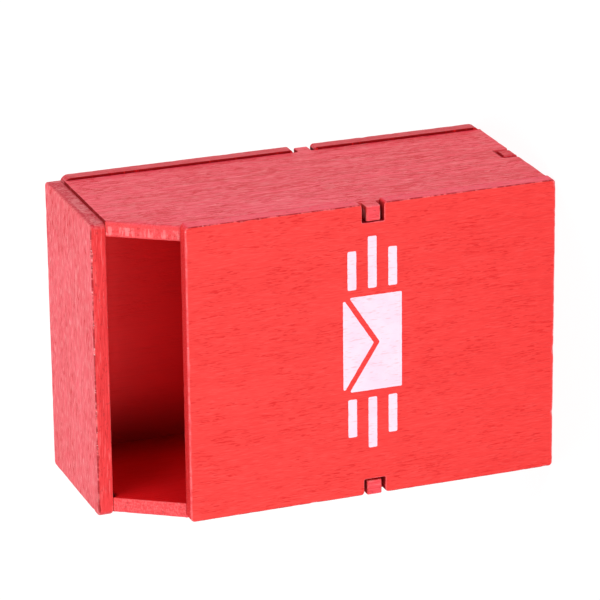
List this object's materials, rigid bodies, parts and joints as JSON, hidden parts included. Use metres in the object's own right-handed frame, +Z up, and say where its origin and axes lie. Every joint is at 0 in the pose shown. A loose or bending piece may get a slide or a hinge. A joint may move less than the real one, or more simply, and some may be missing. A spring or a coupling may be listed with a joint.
{
  "type": "toy post box",
  "caption": "Small free-standing wooden post box: plywood boards joined by tabs in notches, a flat roof set back over a sloping letter mouth at the top of the front.",
  "frame": {"origin": "middle of the footprint, on the surface that the box stands on", "axes": "+Z up, from the base to the roof; the front with the letter mouth faces -Y; +X is to the right for someone facing the front"},
  "size_m": [0.081, 0.0536, 0.1216],
  "materials": {
    "red_paint_front": "thin satin red paint, grain showing",
    "red_paint_side": "thin satin red paint, grain showing",
    "red_paint_back": "thin satin red paint, grain showing",
    "red_paint_base": "thin satin red paint, grain showing",
    "red_paint_roof": "thin satin red paint, grain showing",
    "white_print": "thin matt screen-printed ink"
  },
  "bodies": {
    "root": {"front_panel": "red_paint_front", "back_panel": "red_paint_back", "left_side": "red_paint_side", "right_side": "red_paint_side", "base_panel": "red_paint_base", "roof_panel": "red_paint_roof"}
  },
  "joints": []
}
